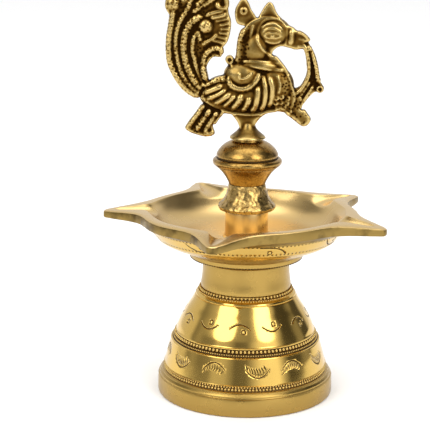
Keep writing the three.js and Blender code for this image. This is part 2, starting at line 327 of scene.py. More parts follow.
def worn_brass():
    """The rough-filed edge of the rim: duller than turned brass, with brown smudges where it is handled."""
    material, tree, shader = new_brass("worn_rim_brass", TURNED_BRASS, 0.36)
    place = roughness_patches(tree, shader, 5, 0.3, 0.46)
    smudges = add_node(tree, "ShaderNodeTexNoise", [(place.outputs["Object"], "Vector")], Detail=4.0,
                       Scale=1 / (7 * MM))
    spread = add_node(tree, "ShaderNodeMapRange", [(smudges.outputs["Fac"], "Value")], From_Min=0.34,
                      From_Max=0.5)
    mix = add_node(tree, "ShaderNodeMix", [(spread.outputs[0], 0)], data_type="RGBA")
    mix.inputs[6].default_value = linear("#5E4C2A")
    mix.inputs[7].default_value = linear("#927942")
    tree.links.new(mix.outputs[2], shader.inputs["Base Color"])
    return material


def oxidised_brass():
    """The brown oxide that stays in cuts and hollows, where the buffing wheel can't reach."""
    material, tree, shader = new_brass("brown_oxide_in_cuts", OXIDE_BROWN, 0.5)
    roughness_patches(tree, shader, 0.8, 0.4, 0.7)
    shader.inputs["Metallic"].default_value = 0.8
    return material


MIRROR = mirror_brass()
TURNED = turned_brass()
SATIN = satin_brass()
WORN = worn_brass()
OXIDE = oxidised_brass()
ROLLED = new_brass("rolled_bead_brass", "#C6A660", 0.22)[0]

# %% [markdown]
# ## Turning on the lathe
#
# The foot, the collar, the skirt and the knop were all turned or cast round. So each starts as one corner
# point that is extruded along its outline, as a turner's template, and is then spun once round the axis.

# %% Spin an outline
def turn(name, outline, steps):
    """Spins an outline of (radius, height) pairs in millimetres once round the lamp's axis."""
    put_everything_down()
    bpy.ops.mesh.primitive_plane_add(size=MM, location=(0, 0, 0))
    piece = bpy.context.object
    piece.name = name
    bpy.ops.object.mode_set(mode="EDIT")
    bpy.ops.mesh.select_all(action="SELECT")
    bpy.ops.mesh.merge(type="CENTER")
    radius, height = outline[0]
    bpy.ops.transform.translate(value=(radius * MM, 0, height * MM))
    for (r0, z0), (r1, z1) in zip(outline, outline[1:]):
        step = ((r1 - r0) * MM, 0, (z1 - z0) * MM)
        bpy.ops.mesh.extrude_vertices_move(TRANSFORM_OT_translate={"value": step})
    bpy.ops.mesh.select_all(action="SELECT")
    bpy.ops.mesh.spin(steps=steps, angle=TAU, center=(0, 0, 0), axis=(0, 0, 1))
    bpy.ops.mesh.select_all(action="SELECT")
    bpy.ops.mesh.remove_doubles(threshold=2e-6)
    bpy.ops.mesh.normals_make_consistent(inside=False)
    bpy.ops.object.mode_set(mode="OBJECT")
    bpy.ops.object.shade_smooth_by_angle(angle=math.radians(32))
    return piece


def rounded(points, parts):
    """More points along a soft curve (Catmull-Rom) through the given ones."""
    ends = [points[0]] + list(points) + [points[-1]]
    out = []
    for a, b, c, d in zip(ends, ends[1:], ends[2:], ends[3:]):
        for i in range(parts):
            t = i / parts
            out.append(tuple(
                0.5 * (2 * q + (r - p) * t + (2 * p - 5 * q + 4 * r - s) * t * t
                       + (3 * q - p - 3 * r + s) * t ** 3)
                for p, q, r, s in zip(a, b, c, d)))
    return out + [tuple(points[-1])]


# %% [markdown]
# ## The bell foot
#
# A hollow bell with a satin foot band, two mirror bands and three rings of beads. The outline carries every
# step and line of the real turning, and the beads are added afterwards.

# %% Turn the bell
LOWER_BAND = [(26.25, 9.7), (25.7, 11.9), (24.95, 14.8), (24.1, 17.5)]
UPPER_BAND = [(22.4, 20.9), (21.75, 22.8), (20.55, 25.3), (19.15, 27.8), (17.75, 30.0), (16.65, 31.9)]
bell_inside = rounded([(9.6, 30.4), (13.2, 30.4), (17.0, 27.0), (19.8, 21), (23.3, 12), (25.2, 5.4)], 5)
foot_band = [(25.4, 0), (28.0, 0), (28.35, 0.15), (28.5, 0.5), (28.5, 2.5), (28.46, 5.2), (28.3, 5.7),
             (28.0, 5.85), (27.85, 6.15), (27.85, 6.5), (27.55, 6.9), (27.25, 7.15), (27.2, 7.35),
             (26.9, 7.6), (26.5, 7.7)]
low_ring = [(26.3, 8.0), (26.25, 8.6), (26.2, 8.75), (26.15, 9.3), (26.4, 9.42), (26.45, 9.55)]
middle_ring = [(24.3, 17.65), (24.2, 17.85), (23.8, 18.0), (23.45, 18.05), (23.3, 18.5), (23.2, 18.8),
               (22.75, 18.95), (22.5, 19.5), (22.5, 20.15), (22.75, 20.3), (22.75, 20.55), (22.5, 20.7)]
top_ring = [(16.45, 32.2), (16.2, 32.3), (16.2, 32.45), (16.35, 32.6), (16.2, 33.0), (15.75, 33.3),
            (15.3, 33.55), (15.0, 33.95), (14.75, 34.3), (14.6, 34.5), (14.6, 34.8), (6.3, 34.8),
            (6.3, 24.8), (9.5, 24.8)]
bell_outline = (foot_band + low_ring + rounded(LOWER_BAND, 6) + middle_ring + rounded(UPPER_BAND, 7)
                + top_ring + bell_inside + [(25.4, 0)])
bell = turn("bell_foot_body", bell_outline, 192)
report(bell)


# %% Coat faces by their place
def coat(piece, *materials):
    """Gives a piece its finishes; the first one covers all of it until others are laid over it."""
    piece.data.materials.clear()
    for material in materials:
        piece.data.materials.append(material)
    piece.data.polygons.foreach_set("material_index", [0] * len(piece.data.polygons))
    return piece


def coat_where(piece, slot, test):
    """Lays finish number `slot` on every face whose middle (radius, height in mm) passes the test."""
    for face in piece.data.polygons:
        middle = face.center / MM
        if test(math.hypot(middle.x, middle.y), middle.z):
            face.material_index = slot


coat(bell, MIRROR, TURNED, OXIDE)
coat_where(bell, 1, lambda radius, height: height < 7.65 or radius < 14.7)
coat_where(bell, 2, lambda radius, height: radius > 14.6 and (7.65 < height < 9.35 or 18.0 < height < 20.25
                                                             or 33.9 < height < 34.78))

# %% [markdown]
# ## Engraving the bell
#
# The two mirror bands are cut with a graver: bows with a little ring beside them above, and comb-like
# leaves below, each turned up and down by turns. A graver's cut is modelled as a thin tube laid along the
# surface and taken away from the bell, so that each line is a real groove. Its walls take the brown oxide
# of the tube's own material.

# %% Draw cuts as tubes
def along_outline(outline, height):
    """The radius of a turned outline at a height, by straight lines between its points."""
    heights = [z for _, z in outline]
    radii = [r for r, _ in outline]
    return float(np.interp(height, heights, radii))


def on_wall(outline, degrees, height):
    angle = math.radians(degrees)
    radius = along_outline(outline, height)
    return Vector((radius * math.sin(angle), -radius * math.cos(angle), height)) * MM


def tubes(name, paths, thickness_mm, material, closed=False):
    """Round tubes along lists of points, as one mesh. The ends of each path taper, as a graver's cut does."""
    curve = bpy.data.curves.new(name, "CURVE")
    curve.dimensions = "3D"
    curve.bevel_depth = thickness_mm * MM / 2
    curve.bevel_resolution = 1
    curve.use_fill_caps = True
    for path in paths:
        spline = curve.splines.new("POLY")
        spline.points.add(len(path) - 1)
        spline.use_cyclic_u = closed
        for i, point in enumerate(path):
            spline.points[i].co = (*point, 1)
            edge = min(i, len(path) - 1 - i)
            spline.points[i].radius = 1 if closed else min(1, 0.45 + 0.3 * edge)
    piece = bpy.data.objects.new(name, curve)
    bpy.context.scene.collection.objects.link(piece)
    pick(piece)
    bpy.ops.object.convert(target="MESH")
    piece = bpy.context.object
    bpy.ops.object.mode_set(mode="EDIT")
    bpy.ops.mesh.select_all(action="SELECT")
    bpy.ops.mesh.remove_doubles(threshold=1e-6)
    bpy.ops.mesh.normals_make_consistent(inside=False)
    bpy.ops.object.mode_set(mode="OBJECT")
    return coat(piece, material)


def engrave(piece, cutter):
    """Takes the cutter away from the piece; the cut's walls keep the cutter's material."""
    pick(piece)
    modifier = piece.modifiers.new("engraving", "BOOLEAN")
    modifier.operation = "DIFFERENCE"
    modifier.solver = "MANIFOLD"
    modifier.material_mode = "TRANSFER"
    modifier.object = cutter
    before = len(piece.data.polygons)
    bpy.ops.object.modifier_apply(modifier=modifier.name)
    bpy.data.objects.remove(cutter)
    print(f"{piece.name}: engraving took it from {before} to {len(piece.data.polygons)} faces")


# %% The bows and rings of the upper band
hand = random.Random(7)


def bow(outline, degrees, height, half_width, sagitta, turned_up):
    """An arc on the wall: ends `sagitta` above its middle when turned up, below it otherwise."""
    points = []
    for i in range(15):
        t = -1 + 2 * i / 14
        lift = sagitta * t * t * (1 if turned_up else -1)
        points.append(on_wall(outline, degrees + half_width * t, height + lift))
    return points


def ring_on_wall(outline, degrees, height, radius_mm):
    points = []
    for i in range(12):
        turn_by = TAU * i / 12
        across = math.degrees(radius_mm * math.cos(turn_by) / along_outline(outline, height))
        points.append(on_wall(outline, degrees + across, height + radius_mm * math.sin(turn_by)))
    return points


upper_cuts, upper_rings = [], []
for number in range(12):
    middle = -4 + 30 * number + hand.uniform(-1.5, 1.5)
    turned_up = number % 2 == 1
    upper_cuts.append(bow(UPPER_BAND, middle, 25.3 if turned_up else 27.5, 9.5, 1.5, turned_up))
    ring_at = middle + (2 if turned_up else 3)
    upper_rings.append(ring_on_wall(UPPER_BAND, ring_at, 27.3 if turned_up else 25.4, 0.62))
engrave(bell, tubes("bow_cuts", upper_cuts, 0.4, OXIDE))
engrave(bell, tubes("ring_cuts", upper_rings, 0.34, OXIDE, closed=True))

# %% The comb-like leaves of the lower band
LEAF_LOW = 12.0
LEAF_HIGH = 16.1
LEAF_BEND = 2.6
LEAF_HALF_WIDTH = 9.0
TICKS_PER_LEAF = 8

leaf_cuts, tick_cuts = [], []
for number in range(12):
    middle = -22 + 30 * number + hand.uniform(-2, 2)
    turned_up = number % 2 == 1
    height = LEAF_LOW if turned_up else LEAF_HIGH
    leaf_cuts.append(bow(LOWER_BAND, middle, height, LEAF_HALF_WIDTH, LEAF_BEND, turned_up))
    for tick in range(TICKS_PER_LEAF):
        share = -0.82 + 1.5 * tick / (TICKS_PER_LEAF - 1)
        sign = 1 if turned_up else -1
        edge = height + sign * LEAF_BEND * share ** 2
        start = edge + 0.45 * sign
        reach = (2.6 if turned_up else 2.1) * (1 - 0.35 * abs(share))
        points = []
        for i in range(6):
            t = i / 5
            lean = (1.5 * t - 1.6 * t * t) * 1.6 - 1.2 * t
            points.append(on_wall(LOWER_BAND, middle + LEAF_HALF_WIDTH * share + lean,
                                  start + sign * reach * t))
        tick_cuts.append(points)
engrave(bell, tubes("leaf_cuts", leaf_cuts, 0.38, OXIDE))
engrave(bell, tubes("tick_cuts", tick_cuts, 0.32, OXIDE))

# %% [markdown]
# ## Rings of beads
#
# The beads were rolled in with a knurling wheel, so they are all alike. One bead is modelled, with a few
# dozen faces, and spun as copies round the axis. Each ring sits in a band of dark oxide, which shows
# between the beads.

# %% Beads
def bead_ring(name, radius, height, count, size, stretch=1.0):
    """A ring of rounded beads; size is the bead's half width and stretch its height over its width."""
    put_everything_down()
    bpy.ops.mesh.primitive_uv_sphere_add(segments=8, ring_count=5, radius=size * MM,
                                         location=(radius * MM, 0, height * MM))
    ring = bpy.context.object
    ring.name = name
    ring.scale = (1, 1, stretch)
    settle(ring)
    bpy.ops.object.mode_set(mode="EDIT")
    bpy.ops.mesh.select_all(action="SELECT")
    bpy.ops.mesh.spin(steps=count - 1, dupli=True, angle=TAU * (count - 1) / count,
                      center=(0, 0, 0), axis=(0, 0, 1))
    bpy.ops.object.mode_set(mode="OBJECT")
    bpy.ops.object.shade_smooth()
    return coat(ring, ROLLED)


rings = [
    bead_ring("top_beads", 14.75, 34.5, 76, 0.48, 1.2),
    bead_ring("top_knurl", 15.3, 33.75, 116, 0.32),
    bead_ring("middle_beads", 22.7, 19.5, 112, 0.56, 1.2),
    bead_ring("middle_knurl", 23.25, 18.45, 190, 0.3),
    bead_ring("low_beads", 26.15, 8.25, 150, 0.5),
    bead_ring("low_knurl", 26.2, 9.05, 180, 0.36),
]
bell_foot = join(bell, *rings)
bell_foot.name = "bell_foot_turned"
report(bell_foot)
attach(bell_foot, "foot")
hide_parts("bell_foot")

# %% [markdown]
# ## The collar
#
# A short plain tube, a little narrower at the top. It only needs its soft edges and its satin rings.

# %% Turn the collar
collar_outline = [(7.4, 34.9), (14.3, 34.9), (14.55, 35.1), (14.6, 35.6), (14.55, 36.4), (14.35, 37.6),
                  (14.15, 39.5), (14.05, 41.5), (14.0, 43.0), (13.95, 43.5), (13.7, 43.75), (7.4, 43.75),
                  (7.4, 34.9)]
collar = coat(turn("collar_turned", collar_outline, 128), TURNED)
report(collar)
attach(collar, "collar")
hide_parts("collar")

# %% [markdown]
# ## The oil bowl
#
# The bowl is turned round first, with its boss in the middle. Then the rim is drawn out into five spouts,
# as a founder presses them into the pattern: every point near the rim slides outwards by how close its
# compass angle is to a spout. The inner edge slides less than the outer one, and over a narrower angle, and
# that leaves the channel in which the wick lies.

# %% Turn the round bowl
RIM_TOP = 60.2
RIM_RADIUS = 33.6
WELL_RADIUS = 30.7
BAND = [(29.3, 52.2), (30.0, 53.1), (30.65, 54.0), (31.3, 54.9), (31.95, 55.75)]
bowl_foot = [(0, 49.3), (4.3, 49.3), (4.3, 44.1), (14.0, 43.95), (14.35, 44.15), (14.4, 44.6), (15.2, 44.8),
             (17.6, 45.1), (18.2, 45.35), (18.3, 45.8), (18.3, 46.5), (18.6, 46.8), (20.8, 47.8),
             (23.0, 48.85)]
mouldings = [(25.0, 49.75), (25.15, 49.95), (25.5, 50.0), (26.3, 50.15), (27.1, 50.55), (27.6, 51.0),
             (27.8, 51.15), (28.3, 51.3), (28.9, 51.7), (29.15, 52.0)]
rim = [(32.3, 56.2), (32.7, 56.6), (33.2, 56.8), (33.5, 57.1), (33.6, 57.6), (33.6, 58.4), (33.6, 59.5),
       (33.5, 59.95), (33.2, 60.15), (32.6, 60.2), (31.8, 60.22), (31.1, 60.22), (30.8, 60.18)]
bowl_well = rounded([(30.5, 59.8), (29.9, 58.7), (28.9, 57.0), (27.5, 55.3), (25.4, 53.7), (22.4, 52.4),
                     (18.4, 51.6), (13, 51.2), (8.6, 51.15)], 4)
boss = [(7.6, 51.3), (7.1, 51.9), (6.95, 53), (6.9, 55), (6.9, 59.5), (6.75, 59.95), (6.4, 60.18),
        (3.4, 60.18), (3.4, 51.4), (0, 51.4)]
bowl_outline = bowl_foot + mouldings + rounded(BAND, 2) + rim + bowl_well + boss
bowl = turn("oil_bowl_cast", bowl_outline, 600)
report(bowl)

# %% Draw out the spouts
# Each spout: its angle in degrees from +X, its reach from the axis, and how far its tip hangs down, in mm.
SPOUTS = [(-21.5, 46.6, 1.8), (35.5, 45.6, 0.9), (112, 45.2, 0.4), (177.5, 46.3, 1.3), (256.5, 44.6, 1.5)]
FLANK_ANGLES = [0, 1.3, 2.0, 3.1, 5.0, 7.5, 10.8, 14.6, 19, 25, 32]
FLANK_REACH = [1, 0.99, 0.955, 0.86, 0.72, 0.52, 0.32, 0.16, 0.06, 0.01, 0]


def degrees_between(a, b):
    return abs((a - b + 180) % 360 - 180)


def hump(degrees, middle, half_width):
    return math.exp(-(degrees_between(degrees, middle) / half_width) ** 2)


def eased(value, low, high):
    """0 below `low`, 1 above `high`, and a soft rise between them."""
    share = min(1, max(0, (value - low) / (high - low)))
    return share * share * (3 - 2 * share)


def wandering_rim(degrees):
    """The rim isn't a true circle: it stands out between some spouts and is drawn in between others."""
    return (1.6 * hump(degrees, 217, 20) + 1.5 * hump(degrees, 2, 12)
            - 0.7 * hump(degrees, 75, 18) - 0.4 * hump(degrees, 300, 18))


STILL_RADIUS = 26
STILL_HEIGHT = 55.5
RIM_BOTTOM = 58
SPOUT_ROOT = 33.4
CHANNEL = (10.5, 4.4)
CHANNEL_MOUTH = (1.5, 15)


def drawn_out(x, y, z):
    """Where a point of the round bowl, in mm, moves to when the spouts are drawn."""
    radius = math.hypot(x, y)
    if radius < STILL_RADIUS or z < STILL_HEIGHT:
        return x, y, z
    degrees = math.degrees(math.atan2(y, x))
    azimuth, reach, droop = min(SPOUTS, key=lambda spout: degrees_between(degrees, spout[0]))
    away = degrees_between(degrees, azimuth)
    rim_here = RIM_RADIUS + wandering_rim(degrees)
    outer = rim_here + (reach - rim_here) * float(np.interp(away, FLANK_ANGLES, FLANK_REACH))
    # The channel and its mouth each have a length in mm and a half width in degrees.
    channel = sum(length * hump(degrees, azimuth, half_width)
                  for length, half_width in (CHANNEL, CHANNEL_MOUTH))
    inner = WELL_RADIUS + min(channel, outer - WELL_RADIUS - 1.2) + 0.6 * wandering_rim(degrees)
    outside = radius > WELL_RADIUS + 0.05
    if not outside:
        new_radius = radius + (inner - WELL_RADIUS) * eased(z, 57.4, RIM_TOP)
    elif z > RIM_BOTTOM:
        share = (radius - WELL_RADIUS) / (RIM_RADIUS - WELL_RADIUS)
        new_radius = inner + share * (outer - inner)
    else:
        new_radius = radius + (outer - RIM_RADIUS) * eased(z, 55.7, 57.2)
    beyond = max(0, (new_radius - SPOUT_ROOT) / (reach - SPOUT_ROOT))
    thin = 0.9 * beyond if z < RIM_BOTTOM else 0
    return x * new_radius / radius, y * new_radius / radius, z - droop * beyond + thin


def reshape(piece, move):
    """Moves every point of a piece; `move` takes and gives x, y, z in millimetres."""
    for point in piece.data.vertices:
        point.co = Vector(move(*(point.co / MM))) * MM
    piece.data.update()


# The finishes are laid while the bowl is still round, so that they follow the spouts afterwards.
coat(bowl, SATIN, TURNED, OXIDE, MIRROR, WORN)
coat_where(bowl, 1, lambda radius, height: height < 50.3)
coat_where(bowl, 4, lambda radius, height: radius > 32.1 and 55.9 < height < 59.9)
coat_where(bowl, 3, lambda radius, height: radius > height - 26 and 50.2 < height < 55.9)
reshape(bowl, drawn_out)
pick(bowl)
bpy.ops.object.shade_smooth_by_angle(angle=math.radians(40))
report(bowl)

# %% Rows of punched dots and bows under the rim
def punch_row(name, outline, height, count, size):
    """A row of small round dots, as a cutter for the engraver."""
    ring = bead_ring(name, along_outline(outline, height), height, count, size)
    return coat(ring, OXIDE)


engrave(bowl, punch_row("upper_dots", BAND, 55.5, 150, 0.3))
engrave(bowl, punch_row("lower_dots", BAND, 52.5, 140, 0.28))
bowl_bows, bowl_rings = [], []
for number in range(8):
    middle = 17 + 45 * number + hand.uniform(-2, 2)
    sign = 1 if number % 2 == 0 else -1
    path = []
    for along, rise in ((-8, 1.3), (-5, 1.35), (-2, 1.3), (1, 1.15), (4, 0.6), (6.5, -0.3), (8, -1.3)):
        path.append((middle + sign * along, 54.0 + sign * rise))
    path = rounded(path, 3)
    bowl_bows.append([on_wall(BAND, degrees, height) for degrees, height in path])
    bowl_rings.append(ring_on_wall(BAND, middle - sign * 2, 53.9 - 0.4 * sign, 0.62))
engrave(bowl, tubes("bowl_bow_cuts", bowl_bows, 0.46, OXIDE))
engrave(bowl, tubes("bowl_ring_cuts", bowl_rings, 0.4, OXIDE, closed=True))


def clear_slivers(piece, gap_mm):
    """Merges the points that a cut has left almost on top of each other."""
    pick(piece)
    before = len(piece.data.vertices)
    bpy.ops.object.mode_set(mode="EDIT")
    bpy.ops.mesh.select_all(action="SELECT")
    bpy.ops.mesh.remove_doubles(threshold=gap_mm * MM)
    bpy.ops.mesh.dissolve_degenerate(threshold=gap_mm * MM)
    bpy.ops.object.mode_set(mode="OBJECT")
    print(f"{piece.name}: {before - len(piece.data.vertices)} sliver points merged")


clear_slivers(bowl, 0.002)
oil_bowl = join(bowl, coat(bead_ring("bowl_knurl", 17.95, 45.2, 120, 0.33), OXIDE))
oil_bowl.name = "oil_bowl_cast"
report(oil_bowl)
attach(oil_bowl, "bowl")
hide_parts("oil_bowl")

# %% [markdown]
# ## The skirt and the knop
#
# Both are cast, and both stand on the boss with the rod through their middle. The skirt keeps the skin of
# the sand mould, so its turned shape is pushed in and out a little by a lumpy cloud pattern. The knop was
# filed smooth.

# %% As-cast brass
def cast_brass(name, colour, pit_colour, roughness, pit_mm):
    """Brass with the grain of the sand mould: small pits, darker at their bottom."""
    material, tree, shader = new_brass(name, colour, roughness)
    place = roughness_patches(tree, shader, 1.6, roughness - 0.08, roughness + 0.1)
    pits = add_node(tree, "ShaderNodeTexNoise", [(place.outputs["Object"], "Vector")], Detail=5.0,
                    Scale=1 / (0.9 * MM))
    shade = add_node(tree, "ShaderNodeMapRange", [(pits.outputs["Fac"], "Value")], From_Min=0.34,
                     From_Max=0.5)
    mix = add_node(tree, "ShaderNodeMix", [(shade.outputs[0], 0)], data_type="RGBA")
    mix.inputs[6].default_value = linear(pit_colour)
    mix.inputs[7].default_value = linear(colour)
    tree.links.new(mix.outputs[2], shader.inputs["Base Color"])
    bump = add_node(tree, "ShaderNodeBump", [(pits.outputs["Fac"], "Height")], Strength=1.0,
                    Distance=pit_mm * MM)
    tree.links.new(bump.outputs[0], shader.inputs["Normal"])
    return material


SAND_CAST = cast_brass("sand_cast_brass", "#BA9A5C", "#7A5D2C", 0.26, 0.08)
FILED = cast_brass("filed_cast_brass", "#A28043", "#84642F", 0.24, 0.015)

# %% Turn the skirt and roughen it
skirt_flare = rounded([(9.15, 60.9), (9.25, 61.4), (8.9, 62.0), (7.9, 63.1), (7.0, 64.6), (6.45, 66.3),
                       (6.05, 68.0)], 4)
skirt_outline = ([(3.5, 60.3), (8.2, 60.3), (8.8, 60.45)] + skirt_flare
                 + [(5.95, 68.35), (5.85, 68.6), (3.5, 68.6), (3.5, 60.3)])
skirt = coat(turn("finial_skirt_cast", skirt_outline, 120), SAND_CAST)
lumps = bpy.data.textures.new("mould_lumps", "CLOUDS")
lumps.noise_scale = 1.3 * MM
skirt.vertex_groups.new(name="flare")
outer = [v.index for v in skirt.data.vertices if 60.5 < v.co.z / MM < 68.4 and v.co.xy.length / MM > 5]
skirt.vertex_groups["flare"].add(outer, 1.0, "REPLACE")
use_modifier(skirt, "DISPLACE", texture=lumps, strength=0.5 * MM, mid_level=0.55, vertex_group="flare")
report(skirt)
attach(skirt, "finial_stem")
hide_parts("finial_skirt")

# %% Turn the knop
knop_cone = rounded([(5.85, 68.75), (6.05, 69.4), (6.9, 71.0), (8.2, 72.8), (9.6, 74.2)], 4)
knop_edge = rounded([(10.15, 74.75), (10.75, 75.1), (11.05, 75.8), (10.95, 76.5), (10.4, 77.0),
                     (9.9, 77.1)], 3)
knop_dome = rounded([(9.85, 77.8), (9.75, 78.5), (9.15, 79.6), (8.1, 80.8), (6.7, 81.8), (5.3, 82.5)], 4)
knop_outline = ([(3.5, 68.7)] + knop_cone + [(9.85, 74.3), (9.9, 74.55)] + knop_edge
                + [(9.45, 77.2), (9.4, 77.5), (9.75, 77.6)] + knop_dome
                + [(4.9, 82.75), (4.8, 83.18), (3.5, 83.18)] + [(3.5, 68.7)])
knop = coat(turn("finial_knop_turned", knop_outline, 128), FILED, OXIDE)
coat_where(knop, 1, lambda radius, height: radius > 9 and 77.1 < height < 77.65)
report(knop)
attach(knop, "finial_stem")
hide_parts("finial_knop")

# %% [markdown]
# ## The cast bird
#
# The founder makes this bird from wax: flat plates for the body, the tail and the sprig, then strips and
# beads of wax laid on both faces for the feathers. The same way is used here. The plates are filled
# outlines, the strips are tubes half sunk in the face, and everything is then melted into one skin by a
# voxel remesh. A lathe or a primitive could not give these free shapes. All places are (x, z) in
# millimetres, because the bird is flat in the XZ plane.

# %% Plates of wax
def place_in_bird(curve_object):
    """A flat curve is drawn in the XY plane; this stands it up in the XZ plane as a mesh."""
    pick(curve_object)
    bpy.ops.object.convert(target="MESH")
    piece = bpy.context.object
    piece.rotation_euler = (math.pi / 2, 0, 0)
    return settle(piece)


def wax_plate(name, outline, half_thickness):
    curve = bpy.data.curves.new(name, "CURVE")
    curve.dimensions = "2D"
    curve.fill_mode = "BOTH"
    curve.extrude = (half_thickness - 0.35) * MM
    curve.bevel_depth = 0.35 * MM
    curve.offset = -0.35 * MM
    spline = curve.splines.new("POLY")
    points = rounded(outline + [outline[0]], 5)[:-1]
    spline.points.add(len(points) - 1)
    spline.use_cyclic_u = True
    for i, (x, z) in enumerate(points):
        spline.points[i].co = (x * MM, z * MM, 0, 1)
    piece = bpy.data.objects.new(name, curve)
    bpy.context.scene.collection.objects.link(piece)
    return place_in_bird(piece)


tail_plate = [(-12.4, 95.8), (-17.8, 98.2), (-22.2, 103.3), (-24.5, 110), (-24.5, 116), (-23.4, 121.2),
              (-24.9, 124.6), (-24.1, 128.2), (-21, 129.3), (-18.7, 126.6), (-17.2, 132), (-14.2, 136.7),
              (-9.8, 139.4), (-6.1, 138), (-5, 134.4), (-6.3, 130.6), (-5.5, 126), (-5.1, 122.6),
              (-4.4, 120.4), (-4.5, 117.4), (-5.4, 114), (-6.9, 111.9), (-7.4, 109.2), (-10, 109),
              (-11.9, 105.8), (-11.2, 101.4)]
lower_tail_plate = [(-11.4, 96.6), (-13.4, 93.6), (-16.2, 89.8), (-18.6, 86.8), (-17.2, 85.3), (-14.8, 84.4),
                    (-11.6, 83.8), (-9.2, 84.8), (-9.8, 87.2), (-8.4, 90.2), (-5.6, 92.2)]
body_plate = [(-13.8, 96.2), (-10, 93.6), (-3, 91.4), (4, 91.0), (9.6, 92.2), (13.8, 92.2), (15.6, 96.4),
              (14.5, 101.2), (13.3, 105), (11.4, 107.8), (9.4, 109.6), (6, 108.4), (0.4, 107), (-4.2, 104),
              (-10.6, 102)]
neck_plate = [(-2.4, 106), (-2.2, 112.6), (-0.4, 118), (3, 121), (8.4, 122), (12.8, 119.4), (15.4, 117.4),
              (15.3, 112.2), (11, 112.7), (8.5, 110.4), (10.9, 107.3), (8, 104.6), (1, 103.6)]
beak_plate = [(13.9, 118.4), (16.2, 117.2), (19.5, 115.2), (19.2, 114.2), (17.6, 113.8), (18.6, 113),
              (17, 111.9), (13.9, 112.4)]
crest_back_plate = [(1.6, 118.8), (-2.2, 119.4), (-3.2, 122), (-2.9, 124.6), (-0.8, 127.2), (0.8, 126.4),
                    (2.4, 122.6), (4, 120.6)]
crest_front_plate = [(3.6, 120.6), (5.6, 124.2), (7.4, 126.2), (8.7, 125.4), (9.9, 122.6), (11.4, 120.8),
                     (9, 118.6)]
sprig_plate = [(17, 114.2), (18.5, 110.2), (19, 105.4), (18.5, 102.6), (16.6, 100), (13.2, 98),
               (14.4, 92.2), (16.6, 92.8), (19.6, 96.6), (21.6, 98.4), (23.6, 98.4), (24.1, 100),
               (22.8, 102.4), (22.1, 107), (20.6, 111.2), (18.8, 114.2)]
leaf_plate = [(11.4, 93.6), (13.6, 91), (17, 87.7), (19, 87.9), (20.3, 89.8), (19.1, 91.4), (17.4, 92.6),
              (15, 94)]
knob_plate = [(-3.2, 104.4), (-5.3, 106.8), (-6, 108.2), (-5.3, 109.5), (-4, 109.4), (-3.3, 107.8),
              (-1.6, 106)]
leg_plate = [(-5, 92.4), (-2.8, 89.6), (-2.2, 86.8), (-1.6, 85), (1.6, 85), (1.9, 86.8), (3.2, 89),
             (7.2, 92.4)]
TAIL_HALF_THICKNESS = 1.35
plates = [
    wax_plate("tail", tail_plate, TAIL_HALF_THICKNESS), wax_plate("lower_tail", lower_tail_plate, 1.3),
    wax_plate("body", body_plate, 2.0), wax_plate("neck", neck_plate, 1.9),
    wax_plate("beak", beak_plate, 1.9),
    wax_plate("crest_back", crest_back_plate, 1.5), wax_plate("crest_front", crest_front_plate, 1.5),
    wax_plate("sprig", sprig_plate, 1.1), wax_plate("leaf", leaf_plate, 1.7),
    wax_plate("knob", knob_plate, 1.3), wax_plate("legs", leg_plate, 1.9),
]

# %% Rounded swellings: body, wing, neck and head
# Each swelling: middle x and z, half width, half height, tilt in degrees, half thickness.
SWELLINGS = [(0.4, 97.8, 14.6, 7.0, 4, 3.6), (9.4, 99.8, 5.8, 7.2, 0, 3.3), (3.4, 111.6, 4.6, 7, -12, 2.9),
             (8.7, 116.9, 5.3, 4.9, 0, 3.3), (-0.2, 103.2, 6.4, 4.6, -8, 4.1), (4.6, 107, 7.4, 1.9, -8, 3.1),
             (-12.3, 118.6, 2.8, 2.8, 0, 2.35), (-22.4, 125.3, 2.6, 3.1, 0, 2.1), (-0.5, 97, 12, 5, 0, 3.9),
             (23, 99.4, 1.4, 1.4, 0, 1.9), (-4.75, 108.3, 1.4, 1.4, 0, 1.7)]


def swelling_share(x, z, swelling):
    cx, cz, half_x, half_z, tilt, _ = swelling
    lean = math.radians(tilt)
    across = (x - cx) * math.cos(lean) + (z - cz) * math.sin(lean)
    up = (z - cz) * math.cos(lean) - (x - cx) * math.sin(lean)
    return (across / half_x) ** 2 + (up / half_z) ** 2


# The flat faces that are thicker than the tail: left, right, bottom, top and half thickness.
PLATE_FACES = [(-13, 14.5, 91, 106, 2.0), (-1.6, 19.6, 106, 121.5, 1.9), (-3.2, 3.6, 119.5, 127.5, 1.5)]


def skin(x, z):
    """Half the bird's thickness in mm at a place, before any strips are laid on."""
    half = TAIL_HALF_THICKNESS
    for left, right, low, high, plate_half in PLATE_FACES:
        if left < x < right and low < z < high:
            half = max(half, plate_half)
    for swelling in SWELLINGS:
        half = max(half, swelling[5] * math.sqrt(max(0, 1 - swelling_share(x, z, swelling))))
    return half


for x, z, half_x, half_z, tilt, half_y in SWELLINGS:
    put_everything_down()
    bpy.ops.mesh.primitive_uv_sphere_add(segments=48, ring_count=24, radius=MM, location=(x * MM, 0, z * MM))
    lump = bpy.context.object
    lump.scale = (half_x, half_y, half_z)
    lump.rotation_euler = (0, -math.radians(tilt), 0)
    plates.append(settle(lump))

# %% [markdown]
# ## Strips and beads of wax
#
# A strip is written as its width, the beading on it, and the places it passes through. It is laid as a tube
# sunk into the skin, and the beading makes the tube swell and shrink along its length. The dark lines of
# the feathers are the gaps left between the strips.

# %% Lay strips of wax
BEAD_PITCH = 1.15


